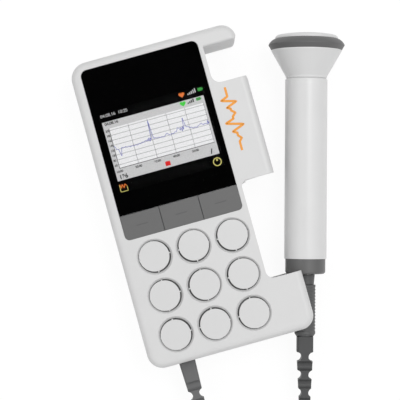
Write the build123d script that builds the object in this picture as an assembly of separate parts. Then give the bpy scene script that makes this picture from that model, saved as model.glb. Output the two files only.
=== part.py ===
from build123d import *
import math
import os

# Handheld fetal doppler. A flat unit with a screen and keys lies on its back. Its probe
# lies beside it: the head is on the table, and the plug of its curly lead rests in the slot
# of the unit's foot. Millimetres. Origin: centre of the unit's back face. +X is to the
# unit's right, +Y goes towards its top end, +Z comes out of its front. The table is z = 0.

os.makedirs("parts", exist_ok=True)

# ---------------------------------------------------------------- driving dimensions

# Unit, outer form
unit_width = 75.9
body_width = 60.4
unit_height = 140.3
unit_depth = 27.0
edge_rounding = 3.0
corner_lower_left = 7.0
corner_upper_left = 7.6
corner_arm = 6.6
corner_arm_low = 2.4
corner_foot = 6.5

# Unit, walls
side_wall = 2.2
front_wall = 2.4
back_wall = 2.2
parting_height = 13.0
seam_width = 0.3
seam_depth = 0.25

# Unit, right side: arm over the probe's face, two notches, the block that clips the probe's
# handle, and the foot with a pocket for its cap and a slot for its plug
arm_height = 7.9
arm_edge_rounding = 1.3
head_notch_length = 17.0
block_length = 44.8
tube_notch_length = 45.1
head_notch_round = 4.0
tube_notch_round = 3.5
block_corner_round = 3.0
dock_offset = 11.65
dock_clearance = 0.3
dock_end_gap = 0.4
pocket_end_gap = 1.0
plug_slot_clearance = 0.5
plug_rest_gap = 0.1
back_lip_setback = 6.0

# Window and the three soft keys below it
window_left_margin = 4.5
window_right_margin = 2.0
window_top_margin = 3.75
window_thickness = 1.4
window_corner = 3.0
window_clearance = 0.1
soft_key_height = 11.15
soft_key_corner = 2.2
soft_key_gap = 0.25
soft_key_flange = 0.9
soft_key_setback = 0.6

# Nine round keys
key_diameter = 13.5
key_gap = 0.4
key_dish_width = 0.85
key_dish_depth = 1.0
key_pitch = 17.75
keypad_shift = 1.3
keypad_from_bottom = 30.8
keypad_to_soft_keys = 27.63
key_rounding = 0.2
key_cap_shift = 0.3
key_cap_angles = [-40, -125, -135, 5, 180, 190, 40, 115, 140]
key_flange_width = 1.3
key_flange_flat = 0.7
key_flange_thickness = 1.0
key_travel = 0.6
key_rib_width = 0.55
key_rib_clearance = 0.06
key_rib_recess = 0.3
stem_radius = 2.5
stem_share = 0.56
stem_to_mat = 0.1
slide_clearance = 0.05

# Circuit board and keypad mat
mat_thickness = 1.0
mat_collar_wall = 1.1
mat_collar_share = 0.8
mat_collar_gap = 0.6
mat_margin = 1.5
board_thickness = 1.6
board_gap = 0.6
board_side_gap = 2.0
board_key_margin = 2.7
board_pocket_gap = 1.15
board_low_gap = 2.8
board_high_gap = 9.3
board_step = 3.0

# Parts on the board
chip_large = 12.0
chip_medium = 7.0
chip_small = 5.0
chip_height = 1.6
chip_space = 4.5
chip_row_gap = 7.0
chip_pitch = 15.0
capacitor_radius = 2.5
capacitor_height = 5.5
shield_from_left = 15.0
shield_from_top = 39.0
shield_width = 17.0
shield_length = 22.0
shield_height = 3.2
shield_sheet = 0.3
header_width = 9.0
header_height = 5.0
header_gap = 0.2
header_room = 7.3
header_ways = 5
header_pitch = 1.6
header_slot_width = 0.8
header_slot_height = 3.0
header_slot_depth = 2.0

# Screen module
screen_left_margin = 2.7
screen_right_margin = 2.3
screen_low_margin = 9.97
screen_height = 36.8
screen_left_border = 4.1
screen_border = 0.9
screen_opening_margin = 0.6
screen_frame_lip = 0.3
screen_frame_sheet = 0.3
screen_panel_thickness = 1.25
screen_gap = 0.05

# Batteries (two AA cells side by side), their tray, the contacts and the sliding cover
cell_radius = 7.1
cell_length = 49.2
cell_rounding = 0.5
cell_nub_radius = 2.6
cell_nub_length = 1.3
cell_spacing = 15.0
cell_clearance = 0.4
cell_rest_gap = 0.02
tray_from_left = 26.3
tray_wall = 1.1
tray_floor_gap = 0.1
tray_play = 0.4
contact_sheet = 0.4
contact_inset = 1.5
contact_gap = 0.1
contact_spring_length = 3.0
contact_spring_wire = 0.35
contact_spring_radius = 3.0
contact_spring_turns = 3
cover_thickness = 1.6
cover_inset = 0.2
cover_dovetail = 0.9
cover_margin = 2.4
cover_clearance = 0.12
cover_travel = 12.0
cover_floor = 1.5
cover_pad_width = 6.0
cover_pad_end = 6.0
groove_count = 6
groove_pitch = 1.8
groove_radius = 0.45
groove_length = 16.0
groove_start = 4.0

# Loudspeaker behind the grille in the back
speaker_from_left = 27.5
speaker_from_top = 32.0
speaker_radius = 18.0
speaker_rim_width = 2.5
speaker_rim_height = 2.2
speaker_depth = 7.0
speaker_sheet = 0.8
speaker_magnet_radius = 8.5
speaker_magnet_height = 3.5
speaker_magnet_chamfer = 0.6
speaker_vent_radius = 2.0
speaker_gasket = 0.7
speaker_clearance = 0.2
speaker_ring_wall = 1.4
speaker_ring_height = 4.0
cone_sheet = 0.5
cone_lift = 0.2
cone_hub_radius = 4.0
cone_surround = 1.1
grille_radius = 13.0
grille_slot = 1.6
grille_pitch = 3.6

# Screws, posts and the headphone socket
post_inset = 6.0
top_post_from_left = 46.5
post_radius = 2.8
back_post_wall = 0.6
screw_radius = 1.2
screw_hole_clearance = 0.05
screw_head_radius = 2.3
screw_head_height = 1.7
screw_length = 13.0
screw_cross_length = 3.0
screw_cross_width = 0.5
screw_cross_depth = 0.7
counterbore_depth = 4.0
counterbore_clearance = 0.3
jack_from_left = 17.5
jack_bore_radius = 1.76
jack_bore_depth = 14.0
jack_nose_radius = 2.8
jack_width = 6.4
jack_drop = 2.4
jack_wall = 0.6
jack_back = 1.0
jack_mouth_inset = 0.4

# Probe, along its own axis: distances from the widest plane of the head, + towards the face
head_radius = 17.1
head_lower_radius = 15.8
collar_height = 2.3
collar_rise = 2.7
collar_top_radius = 14.4
collar_edge = 0.3
collar_swell = 0.24
face_radius = 14.2
face_rise = 5.6
face_edge_rise = 1.7
face_rounding = 1.4
face_wall = 1.6
face_step = 1.2
face_rim = 1.0
head_length = 15.25
neck_joint_radius = 9.2
head_wall = 1.8
head_lip = 0.5
neck_band = 1.3
head_seat = 0.9
head_ledge = 2.2
handle_radius = 9.5
handle_end = 96.0
handle_wall = 2.0
joint_rounding = 0.5
cap_radius = 9.0
cap_length = 6.8
cap_rounding = 1.2
spigot_length = 7.0
fit_clearance = 0.05
seal_section = 0.5
seal_squeeze = 0.04
probe_board_width = 12.0
probe_board_end_gap = 4.1
probe_board_thickness = 1.2
probe_chip_height = 1.2
probe_chip_small = 5.0
probe_chip_large = 8.0
probe_chip_pitch = 13.0
screen_tube_wall = 0.25
screen_tube_gap = 0.3
rail_height = 2.2
rail_grip = 0.3
rail_clearance = 0.05
crystal_radius = 9.5
crystal_thickness = 1.6
crystal_gap = 1.0
crystal_depth = -0.1
carrier_thickness = 1.5
carrier_clearance = 0.15
backing_length = 5.0
backing_gap = 1.0
socket_radius = 4.2
socket_bore_radius = 2.6
socket_bore_reach = 0.5
socket_length = 15.0
socket_recess = 0.4

# Probe, where it lies
probe_x = 67.96
probe_y = 51.9
probe_heading = 15.87

# Lead: plug, strain reliefs, cable
plug_gap = 0.35
nose_radius = 4.32
nose_end_radius = 3.92
nose_length = 4.45
barrel_depth = 11.0
barrel_radius = 2.55
barrel_wall = 0.35
barrel_floor = 1.2
pin_count = 5
pin_radius = 0.25
pin_circle = 1.3
pin_length = 7.9
grip_radius = 4.68
grip_length = 21.85
grip_chamfer = 1.2
grip_rib_pitch = 1.45
grip_rib_depth = 0.22
grip_rib_start = 0.9
relief_gap = 0.15
relief_width = 7.3
relief_corner = 1.2
relief_tip_width = 4.15
relief_length = 38.0
relief_block = 6.9
relief_notch_radius = 2.12
relief_neck = 3.06
relief_pitch = 8.1
relief_foot_overhang = 0.25
plug_relief_notches = 4
lead_from_left = 16.1
lead_flange_radius = 4.65
lead_flange_thickness = 0.5
lead_neck_radius = 3.2
lead_inner_flange = 1.3
unit_relief_length = 36.5
unit_relief_tip_width = 4.6
unit_relief_block = 0.5
unit_front_notch = 11.7
unit_relief_notches = 3
cable_diameter = 2.6
curl_diameter = 11.5

# ---------------------------------------------------------------- places worked out from them

left = -unit_width / 2
right = unit_width / 2
bottom = -unit_height / 2
top = unit_height / 2
inner_front = unit_depth - front_wall

# Right side of the unit
body_right = left + body_width
arm_bottom = top - arm_height
block_top = arm_bottom - head_notch_length
block_bottom = block_top - block_length
foot_top = block_bottom - tube_notch_length
dock_x = body_right + dock_offset
dock_z = unit_depth / 2
channel_radius = handle_radius + dock_clearance
pocket_radius = head_radius + dock_clearance / 2
cap_end = handle_end + cap_length
cap_pocket_bottom = arm_bottom - face_rise - cap_end - 2 * dock_end_gap
slot_low = dock_z - grip_radius - plug_slot_clearance
slot_high = dock_z + grip_radius + plug_slot_clearance

# Window, keypad and screen
window_left = left + window_left_margin
window_right = body_right - window_right_margin
window_width = window_right - window_left
keypad_center_x = (window_left + window_right) / 2 + keypad_shift
keypad_center_y = bottom + keypad_from_bottom
soft_key_bottom = keypad_center_y + keypad_to_soft_keys
window_bottom = soft_key_bottom + soft_key_height
window_top = top - window_top_margin
soft_key_middle = (soft_key_bottom + window_bottom) / 2
window_seat = unit_depth - window_thickness - window_clearance
screen_left = window_left + screen_left_margin
screen_right = window_right - screen_right_margin
screen_bottom = window_bottom + screen_low_margin
screen_top = screen_bottom + screen_height

# Heights, from the back: cover, pads, cells, tray, board, mat, stems, key flanges, front wall.
# The depth that these leave over is shared between the stems and the pads.
key_radius = key_diameter / 2
key_hole_radius = key_radius + key_gap
cover_top_z = cover_inset + cover_thickness
key_floor = inner_front - slide_clearance - key_flange_thickness
key_side_stack = key_travel + stem_to_mat + mat_thickness + board_thickness
cell_side_stack = tray_wall + tray_floor_gap + 2 * cell_radius + cell_rest_gap
spare_depth = key_floor - key_side_stack - cell_side_stack - cover_top_z
stem_length = spare_depth * stem_share
stem_bottom = key_floor - stem_length
mat_top = stem_bottom - key_travel - stem_to_mat
mat_collar_height = stem_length * mat_collar_share
board_top = mat_top - mat_thickness
board_bottom = board_top - board_thickness
tray_roof = board_bottom - tray_wall
cell_z = tray_roof - tray_floor_gap - cell_radius

# Battery tray and its cover
tray_center_x = left + tray_from_left
tray_half_width = (cell_spacing + 2 * cell_radius) / 2 + cell_clearance
tray_length = (cell_length + cell_nub_length + contact_spring_length + 2 * contact_sheet
               + tray_play)
tray_bottom = bottom + side_wall + header_room + tray_wall
tray_top = tray_bottom + tray_length
tray_left = tray_center_x - tray_half_width
tray_right = tray_center_x + tray_half_width
recess_z = cover_top_z + tray_floor_gap
recess_end = tray_top + cover_margin

# Loudspeaker, circuit board, screw posts, headphone socket and lead
speaker_x = left + speaker_from_left
speaker_y = top - speaker_from_top
shield_x = left + shield_from_left
shield_y = top - shield_from_top
board_left = left + side_wall + board_side_gap
board_right_low = keypad_center_x + key_pitch + stem_radius + board_key_margin
board_right_high = dock_x - pocket_radius - side_wall - board_pocket_gap
board_low = bottom + side_wall + board_low_gap
board_high = top - side_wall - board_high_gap
post_places = [
    (left + post_inset, bottom + post_inset),
    (keypad_center_x + key_pitch / 2, bottom + post_inset),
    (left + post_inset, top - post_inset),
    (left + top_post_from_left, top - post_inset),
]
jack_x = left + jack_from_left
lead_x = left + lead_from_left
jack_z = board_bottom - jack_drop - fit_clearance

# Probe and plug, along the probe's axis
bore_radius = handle_radius - handle_wall
seal_place = handle_end - spigot_length / 2
socket_start = cap_end - socket_recess
board_room_start = head_length + spigot_length
board_room_end = socket_start - socket_length
probe_board_length = board_room_end - board_room_start - 2 * probe_board_end_gap
probe_board_middle = (board_room_start + board_room_end) / 2
screen_tube_start = board_room_start + screen_tube_gap
screen_tube_end = board_room_end - screen_tube_gap
nose_start = cap_end + plug_gap
nose_end = nose_start + nose_length
barrel_start = socket_start - barrel_depth
grip_start = nose_end + relief_gap
grip_end = grip_start + grip_length
relief_start = grip_end + grip_chamfer + relief_gap
relief_end = relief_start + relief_length

# The probe lies on its head's rim, and its plug's grip lies on the floor of the foot's slot
rest_drop = head_radius - grip_radius
rest_reach = math.hypot(rest_drop, grip_end)
tilt = (math.acos((slot_low + plug_rest_gap) / rest_reach) - math.atan2(grip_end, rest_drop))
heading = math.radians(probe_heading)
probe_axis = Vector(math.sin(heading) * math.cos(tilt), math.cos(heading) * math.cos(tilt),
                    math.sin(tilt))
probe_side = Vector(math.cos(heading), -math.sin(heading), 0)
probe_center = Vector(probe_x, probe_y, head_radius * math.cos(tilt))
probe_plane = Plane(origin=probe_center, x_dir=probe_side, z_dir=probe_axis)

# The lead's route: from the tip of the unit's strain relief, down onto the table, round an
# open loop, and up to the tip of the plug's strain relief
relief_tip = probe_center - probe_axis * relief_end
curl_height = curl_diameter / 2
unit_lead_plane = Plane(origin=(lead_x, bottom, parting_height), x_dir=(1, 0, 0),
                        z_dir=(0, 1, 0))
unit_tail = [
    Vector(lead_x, bottom - lead_flange_thickness - unit_relief_length, parting_height),
    Vector(-21.85, -114.35, 13.0),
    Vector(-22.35, -121.5, 8.2),
    Vector(-24.05, -130.0, curl_height),
]
loop_points = [
    Vector(-31.0, -148.0, curl_height),
    Vector(-43.5, -166.0, curl_height),
    Vector(-49.0, -188.0, curl_height),
    Vector(-40.0, -210.0, curl_height),
    Vector(-20.0, -222.5, curl_height),
    Vector(3.0, -224.0, curl_height),
    Vector(25.5, -216.0, curl_height),
    Vector(42.0, -199.0, curl_height),
    Vector(47.5, -177.0, curl_height),
    Vector(41.0, -156.5, curl_height),
    Vector(30.5, -141.5, curl_height),
]
plug_tail = [
    Vector(21.15, -131.05, curl_height),
    Vector(18.95, -123.25, 8.6),
    relief_tip - probe_axis * 6.0,
    relief_tip,
]

far = 200.0
past = 1.0


# ---------------------------------------------------------------- shared shapes

def block(x0, x1, y0, y1, z0, z1):
    """A box between two corners."""
    return Pos((x0 + x1) / 2, (y0 + y1) / 2, (z0 + z1) / 2) * Box(x1 - x0, y1 - y0, z1 - z0)


def disc(x, y, radius, z0, z1):
    """An upright cylinder between two heights."""
    return Pos(x, y, (z0 + z1) / 2) * Cylinder(radius, z1 - z0)


def rod_y(x, z, radius, y0, y1):
    """A cylinder along Y."""
    return Pos(x, (y0 + y1) / 2, z) * Rot(90, 0, 0) * Cylinder(radius, y1 - y0)


def plate(x0, x1, y0, y1, z0, z1, radii):
    """A flat plate whose corners, from the lower left anticlockwise, have their own radii."""
    corners = [(x0, y0), (x1, y0), (x1, y1), (x0, y1)]
    face = make_face(Polyline(*corners, close=True))
    for corner, radius in zip(corners, radii):
        if radius > 0:
            vertex = face.vertices().sort_by_distance(Vector(*corner))[0]
            face = fillet(vertex, radius)
    return Pos(0, 0, z0) * extrude(face, amount=z1 - z0)


def turned(points):
    """A solid of revolution about Z from (radius, height) pairs."""
    outline = Polyline(*[(radius, 0, height) for radius, height in points], close=True)
    return revolve(make_face(outline), axis=Axis.Z)


def along_axis(radius, start, end):
    """A cylinder about the probe's axis between two distances behind the head's widest plane."""
    return Pos(0, 0, -(start + end) / 2) * Cylinder(radius, end - start)


def rounded_square(width, corner, height):
    """A square sketch with rounded corners at a height along Z."""
    return Pos(0, 0, height) * RectangleRounded(width, width, corner)


# ---------------------------------------------------------------- unit: housing

def slab(inset, z0, z1):
    """The unit's outline without its notches, moved in by inset."""
    radii = [corner_lower_left, corner_foot, corner_arm, corner_upper_left]
    return plate(left + inset, right - inset, bottom + inset, top - inset, z0, z1,
                 [radius - inset for radius in radii])


def outer_slab():
    """The slab with its front and back edges rounded."""
    body = slab(0, 0, unit_depth)
    rims = body.edges().group_by(Axis.Z)
    return fillet(rims[0] + rims[-1], edge_rounding)


def head_pocket(grow):
    """Round hollow that follows the docked probe's head, larger by grow."""
    cone_start = arm_bottom - face_rise - head_length - pocket_end_gap
    cone_end = arm_bottom - face_rise - collar_height - pocket_end_gap
    wide = pocket_radius + grow
    low = channel_radius + grow
    pocket = turned([
        (0, cone_start - grow / 2), (low, cone_start - grow / 2), (wide, cone_end - grow / 2),
        (wide, arm_bottom + grow), (0, arm_bottom + grow),
    ])
    return Pos(dock_x, 0, dock_z) * Rot(-90, 0, 0) * pocket


def notch(y0, y1, grow, lower_round, upper_round):
    """One notch in the right side, all the way through."""
    return plate(body_right - grow, far, y0 - grow, y1 + grow, -past, unit_depth + past,
                 [lower_round, 0, 0, upper_round])


def arm_corner():
    """What rounds off the arm's lower corner."""
    size = corner_arm_low
    corner = block(right - size, far, arm_bottom - past, arm_bottom + size, -past,
                   unit_depth + past)
    return corner - disc(right - size, arm_bottom + size, size, -far, far)


def arm_edge(edge_z, inner_z):
    """What rounds off the arm's lower edge at the front or at the back."""
    size = arm_edge_rounding
    z0, z1 = sorted((edge_z, inner_z))
    corner = block(body_right, far, arm_bottom - past, arm_bottom + size, z0, z1)
    rod = Pos((body_right + far) / 2, arm_bottom + size, inner_z) * Rot(0, 90, 0)
    return corner - rod * Cylinder(size, far - body_right + past)


def dock_cuts(grow):
    """All that the right side leaves free, larger by grow so that it also shapes the hollow inside."""
    sharp = grow > 0
    head_notch = notch(block_top, arm_bottom, grow, 0 if sharp else head_notch_round, 0)
    tube_notch = notch(foot_top, block_bottom, grow, 0 if sharp else tube_notch_round,
                       0 if sharp else block_corner_round)
    plug_slot = block(body_right - grow, far, bottom - past, foot_top + grow,
                      slot_low - grow, slot_high + grow)
    channel = rod_y(dock_x, dock_z, channel_radius + grow, cap_pocket_bottom - grow,
                    block_top + grow)
    cap_pocket = block(dock_x, far, cap_pocket_bottom - grow, block_bottom,
                       dock_z - channel_radius - grow, dock_z + channel_radius + grow)
    back_gap = block(body_right - grow, far, block_bottom - grow,
                     block_bottom + back_lip_setback - grow, -past, dock_z)
    cuts = head_notch + tube_notch + plug_slot + channel + cap_pocket + back_gap
    cuts = cuts + head_pocket(grow)
    if sharp:
        return cuts
    cuts = cuts + arm_edge(unit_depth, unit_depth - arm_edge_rounding)
    return cuts + arm_edge(0, arm_edge_rounding) + arm_corner()


def housing():
    """The closed shell before it is parted."""
    solid = outer_slab() - dock_cuts(0)
    hollow = slab(side_wall, back_wall, inner_front) - dock_cuts(side_wall)
    seam = slab(-past, parting_height - seam_width / 2, parting_height + seam_width / 2)
    seam = seam - slab(seam_depth, 0, unit_depth)
    return solid - hollow - seam


def soft_key_edges(index):
    """Left and right side of a soft key, from the left."""
    pitch = window_width / 3
    x0 = window_left + index * pitch
    side_left = window_clearance if index == 0 else soft_key_gap / 2
    side_right = window_clearance if index == 2 else soft_key_gap / 2
    return x0 + side_left, x0 + pitch - side_right


def key_place(index):
    """Centre of a round key, counted from the upper left in rows of three."""
    row, column = divmod(index, 3)
    return keypad_center_x + (column - 1) * key_pitch, keypad_center_y + (1 - row) * key_pitch


def front_cover(shell):
    """Front half of the housing with the window seat, the key holes and the screw posts."""
    cover = shell & block(-far, far, -far, far, parting_height, far)
    cover = cover - plate(window_left, window_right, window_bottom, window_top, window_seat,
                          unit_depth + past, [0, 0, window_corner, window_corner])
    cover = cover - plate(window_left, window_right, soft_key_bottom, window_bottom,
                          parting_height, unit_depth + past,
                          [soft_key_corner, soft_key_corner, 0, 0])
    margin = screen_opening_margin
    cover = cover - block(screen_left - margin, screen_right + margin, screen_bottom - margin,
                          screen_top + margin, parting_height, unit_depth)
    wide = key_hole_radius + key_dish_width
    dish = turned([
        (0, parting_height), (key_hole_radius, parting_height),
        (key_hole_radius, unit_depth - key_dish_depth), (wide, unit_depth),
        (wide, unit_depth + past), (0, unit_depth + past),
    ])
    for index in range(9):
        x, y = key_place(index)
        cover = cover - Pos(x, y, 0) * dish
    for x, y in post_places:
        cover = cover + disc(x, y, post_radius, parting_height, (inner_front + window_seat) / 2)
        cover = cover - disc(x, y, screw_radius + screw_hole_clearance, parting_height - past,
                             counterbore_depth + screw_length + past)
    return cut_sockets(cover)


def cut_sockets(cover):
    """Holes for the lead at the lower end and the headphone socket at the upper end."""
    lead_hole = rod_y(lead_x, parting_height, lead_neck_radius + fit_clearance,
                      bottom - past, bottom + side_wall + past)
    jack_hole = rod_y(jack_x, jack_z, jack_nose_radius + fit_clearance,
                      top - side_wall - past, top + past)
    return cover - lead_hole - jack_hole


def cover_profile(grow, z_low, z_high):
    """Trapezium section of the battery cover, wider inside, so that its recess holds it."""
    wide = tray_half_width + cover_margin + grow
    narrow = wide - cover_dovetail
    slope = cover_dovetail / cover_thickness
    low = narrow - slope * (cover_inset - z_low) if z_low < cover_inset else narrow
    return [(tray_center_x - low, z_low), (tray_center_x + low, z_low),
            (tray_center_x + wide, z_high), (tray_center_x - wide, z_high)]


def prism_y(section, y0, y1):
    """A prism along Y from an (x, z) section."""
    face = make_face(Polyline(*[(x, y0, z) for x, z in section], close=True))
    return extrude(face, amount=y1 - y0, dir=(0, 1, 0))


def rear_cover(shell):
    """Back half of the housing with the battery tray, the speaker ring and the screw posts."""
    cover = shell & block(-far, far, -far, far, -past, parting_height)
    floor_half = tray_half_width + cover_margin + side_wall
    cover = cover + block(tray_center_x - floor_half, tray_center_x + floor_half,
                          bottom + side_wall / 2, recess_end + side_wall,
                          back_wall / 2, recess_z + cover_floor)
    cover = cover + block(tray_left - tray_wall, tray_right + tray_wall,
                          tray_bottom - tray_wall, tray_top + tray_wall, recess_z, board_bottom)
    ring_radius = speaker_radius + speaker_clearance
    ring = disc(speaker_x, speaker_y, ring_radius + speaker_ring_wall, back_wall / 2,
                back_wall + speaker_ring_height)
    cover = cover + (ring - disc(speaker_x, speaker_y, ring_radius, 0, unit_depth))
    for x, y in post_places:
        cover = cover + disc(x, y, post_radius + back_post_wall, back_wall / 2, parting_height)
    cover = cover - block(tray_left, tray_right, tray_bottom, tray_top, 0, tray_roof)
    cover = cover - prism_y(cover_profile(cover_clearance, -back_wall / 2, recess_z),
                            bottom - past, recess_end + cover_clearance)
    for slot in grille_slots():
        cover = cover - slot
    for x, y in post_places:
        cover = cover - disc(x, y, screw_head_radius + counterbore_clearance, -past,
                             counterbore_depth)
        cover = cover - disc(x, y, screw_radius + 2 * screw_hole_clearance, -past,
                             parting_height + past)
    return cut_sockets(cover)


def grille_slots():
    """Slots with round ends that fill a circle over the loudspeaker."""
    slots = []
    count = int(grille_radius // grille_pitch)
    for step in range(-count, count + 1):
        y = speaker_y + step * grille_pitch
        half = math.sqrt(grille_radius ** 2 - (step * grille_pitch) ** 2)
        slot = extrude(SlotOverall(2 * half, grille_slot), amount=back_wall + 2 * past)
        slots.append(Pos(speaker_x, y, -past) * slot)
    return slots


# ---------------------------------------------------------------- unit: window, screen, keys

def display_window():
    """Front glass, set just below the front face."""
    gap = window_clearance
    return plate(window_left + gap, window_right - gap, window_bottom + gap, window_top - gap,
                 window_seat, window_seat + window_thickness,
                 [0, 0, window_corner - gap, window_corner - gap])


def screen_pieces():
    """Sheet-metal frame, light guide and glass panel of the screen module."""
    top_z = inner_front - screen_gap
    sheet = screen_frame_sheet
    lip = screen_frame_lip
    x0 = screen_left - screen_left_border
    x1 = screen_right + screen_border
    y0 = screen_bottom - screen_border
    y1 = screen_top + screen_border
    frame = block(x0, x1, y0, y1, board_top, top_z)
    frame = frame - block(x0 + sheet, x1 - sheet, y0 + sheet, y1 - sheet,
                          board_top + sheet, top_z - sheet)
    frame = frame - block(screen_left - lip, screen_right + lip, screen_bottom - lip,
                          screen_top + lip, board_top + sheet, top_z + past)
    inside = [x0 + sheet + screen_gap, x1 - sheet - screen_gap,
              y0 + sheet + screen_gap, y1 - sheet - screen_gap]
    panel_top = top_z - sheet - screen_gap
    panel_bottom = panel_top - screen_panel_thickness
    panel = block(*inside, panel_bottom, panel_top)
    guide = block(*inside, board_top + sheet, panel_bottom)
    return frame, guide, panel


def round_key(index):
    """One hard key: cap, four guide ribs, a flange with four flats under the front wall, a stem.
    The ribs are centred in the hole, and the cap sits a little off their centre."""
    x, y = key_place(index)
    lean = math.radians(key_cap_angles[index])
    cap = disc(-key_cap_shift * math.cos(lean), -key_cap_shift * math.sin(lean), key_radius,
               key_floor, unit_depth)
    cap = fillet(cap.edges().group_by(Axis.Z)[-1], key_rounding)
    half_length = key_hole_radius - key_rib_clearance
    rib_low = inner_front + key_rib_recess
    rib_high = unit_depth - key_rounding
    half_rib = key_rib_width / 2
    ribs = block(-half_length, half_length, -half_rib, half_rib, rib_low, rib_high)
    ribs = ribs + block(-half_rib, half_rib, -half_length, half_length, rib_low, rib_high)
    flange_top = key_floor + key_flange_thickness
    half_flat = key_radius + key_flange_flat
    flange = disc(0, 0, key_radius + key_flange_width, key_floor, flange_top)
    flange = flange & block(-half_flat, half_flat, -half_flat, half_flat, key_floor, flange_top)
    stem = disc(0, 0, stem_radius, stem_bottom, key_floor)
    return Pos(x, y, 0) * (cap + ribs + flange + stem)


def soft_key(index):
    """One flush key below the window, with flanges behind the window seat and the front wall."""
    x0, x1 = soft_key_edges(index)
    gap = window_clearance
    corner = soft_key_corner - gap
    cap = plate(x0, x1, soft_key_bottom + gap, window_bottom - gap, key_floor, unit_depth - gap,
                [corner if index == 0 else 0, corner if index == 2 else 0, 0, 0])
    flange = block(x0 + soft_key_setback, x1 - soft_key_setback,
                   soft_key_bottom - soft_key_flange, window_bottom + soft_key_flange,
                   key_floor, inner_front - slide_clearance)
    stem = disc((x0 + x1) / 2, soft_key_middle, stem_radius, stem_bottom, key_floor)
    return cap + flange + stem


def stem_places():
    """Centres of the twelve key stems."""
    places = [key_place(index) for index in range(9)]
    for index in range(3):
        x0, x1 = soft_key_edges(index)
        places.append(((x0 + x1) / 2, soft_key_middle))
    return places


# ---------------------------------------------------------------- unit: inside

def board_outline(z0, z1, y_high):
    """The circuit board's outline, cut back around the screw posts."""
    step_y = window_bottom + board_step
    board = block(board_left, board_right_low, board_low, min(y_high, step_y), z0, z1)
    if y_high > step_y:
        board = board + block(board_left, board_right_high, window_bottom, y_high, z0, z1)
    for x, y in post_places:
        board = board - disc(x, y, post_radius + back_post_wall + board_gap, z0 - past,
                             z1 + past)
    return board


def main_board():
    """Circuit board under the keys and the screen."""
    return board_outline(board_bottom, board_top, board_high)


def keypad_mat():
    """Rubber sheet on the board with a raised collar around each stem."""
    mat = board_outline(board_top, mat_top, window_bottom + mat_margin)
    inner = stem_radius + mat_collar_gap
    for x, y in stem_places():
        collar = disc(x, y, inner + mat_collar_wall, board_top + mat_thickness / 2,
                      mat_top + mat_collar_height)
        mat = mat + (collar - disc(x, y, inner, mat_top, unit_depth))
    return mat


def board_chips():
    """Packages on the underside of the board: a row past the tray, a column beside it."""
    row_y = tray_top + tray_wall + chip_row_gap + chip_large / 2
    row_step = chip_large / 2 + chip_space + chip_medium / 2
    column_x = (tray_right + tray_wall + board_right_low) / 2
    packages = [
        (tray_center_x, row_y, chip_large),
        (tray_center_x - row_step, row_y, chip_medium),
        (tray_center_x + row_step, row_y, chip_medium),
        (column_x, keypad_center_y - chip_pitch, chip_small),
        (column_x, keypad_center_y, chip_medium),
        (column_x, keypad_center_y + chip_pitch, chip_small),
        (board_right_high - chip_small, speaker_y - speaker_radius, chip_small),
    ]
    chips = []
    for x, y, size in packages:
        chips.append(block(x - size / 2, x + size / 2, y - size / 2, y + size / 2,
                           board_bottom - chip_height, board_bottom))
    chips.append(disc(board_left + capacitor_radius, row_y - chip_medium, capacitor_radius,
                      board_bottom - capacitor_height, board_bottom))
    return Compound(children=chips)


def board_shield():
    """Pressed can over the receiver, open towards the board."""
    half_x = shield_width / 2
    half_y = shield_length / 2
    inner_x = half_x - shield_sheet
    inner_y = half_y - shield_sheet
    low = board_bottom - shield_height
    can = block(shield_x - half_x, shield_x + half_x, shield_y - half_y, shield_y + half_y,
                low, board_bottom)
    return can - block(shield_x - inner_x, shield_x + inner_x, shield_y - inner_y,
                       shield_y + inner_y, low + shield_sheet, board_bottom + past)


def speaker_pieces():
    """Gasket, basket, cone and magnet of the loudspeaker, facing the back."""
    z0 = back_wall
    z1 = z0 + speaker_gasket
    rim_top = z1 + speaker_rim_height
    magnet_top = z1 + speaker_depth
    magnet_low = magnet_top - speaker_magnet_height
    open_radius = speaker_radius - speaker_rim_width
    sheet = speaker_sheet
    gasket = disc(0, 0, speaker_radius, z0, z1) - disc(0, 0, open_radius, 0, unit_depth)
    basket = turned([
        (open_radius, z1), (speaker_radius, z1), (speaker_radius, rim_top),
        (speaker_magnet_radius, magnet_low), (speaker_vent_radius, magnet_low),
        (speaker_vent_radius, magnet_low - sheet),
        (speaker_magnet_radius - sheet / 2, magnet_low - sheet), (open_radius, rim_top - sheet),
    ])
    cone_rim = open_radius - slide_clearance
    cone_low = z1 + cone_lift
    cone_top = magnet_low - sheet - 2 * cone_lift
    cone = turned([
        (cone_rim, cone_low), (cone_rim, cone_low + cone_sheet), (cone_hub_radius, cone_top),
        (0, cone_top), (0, cone_top - cone_sheet), (cone_hub_radius, cone_top - cone_sheet),
        (cone_rim - cone_surround, cone_low),
    ])
    magnet = disc(0, 0, speaker_magnet_radius, magnet_low, magnet_top)
    magnet = chamfer(magnet.edges().group_by(Axis.Z)[-1], speaker_magnet_chamfer)
    spot = Pos(speaker_x, speaker_y, 0)
    return spot * gasket, spot * basket, spot * cone, spot * magnet


def battery(index):
    """One AA cell. The left one points up, the right one down."""
    x = tray_center_x + (index - 0.5) * cell_spacing
    end_gap = contact_sheet + contact_gap + cell_nub_length
    if index == 0:
        y1 = tray_top - end_gap
        y0 = y1 - cell_length
        nub = rod_y(x, cell_z, cell_nub_radius, y1, y1 + cell_nub_length)
    else:
        y0 = tray_bottom + end_gap
        y1 = y0 + cell_length
        nub = rod_y(x, cell_z, cell_nub_radius, y0 - cell_nub_length, y0)
    can = rod_y(x, cell_z, cell_radius, y0, y1)
    return fillet(can.edges().filter_by(GeomType.CIRCLE), cell_rounding) + nub


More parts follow.
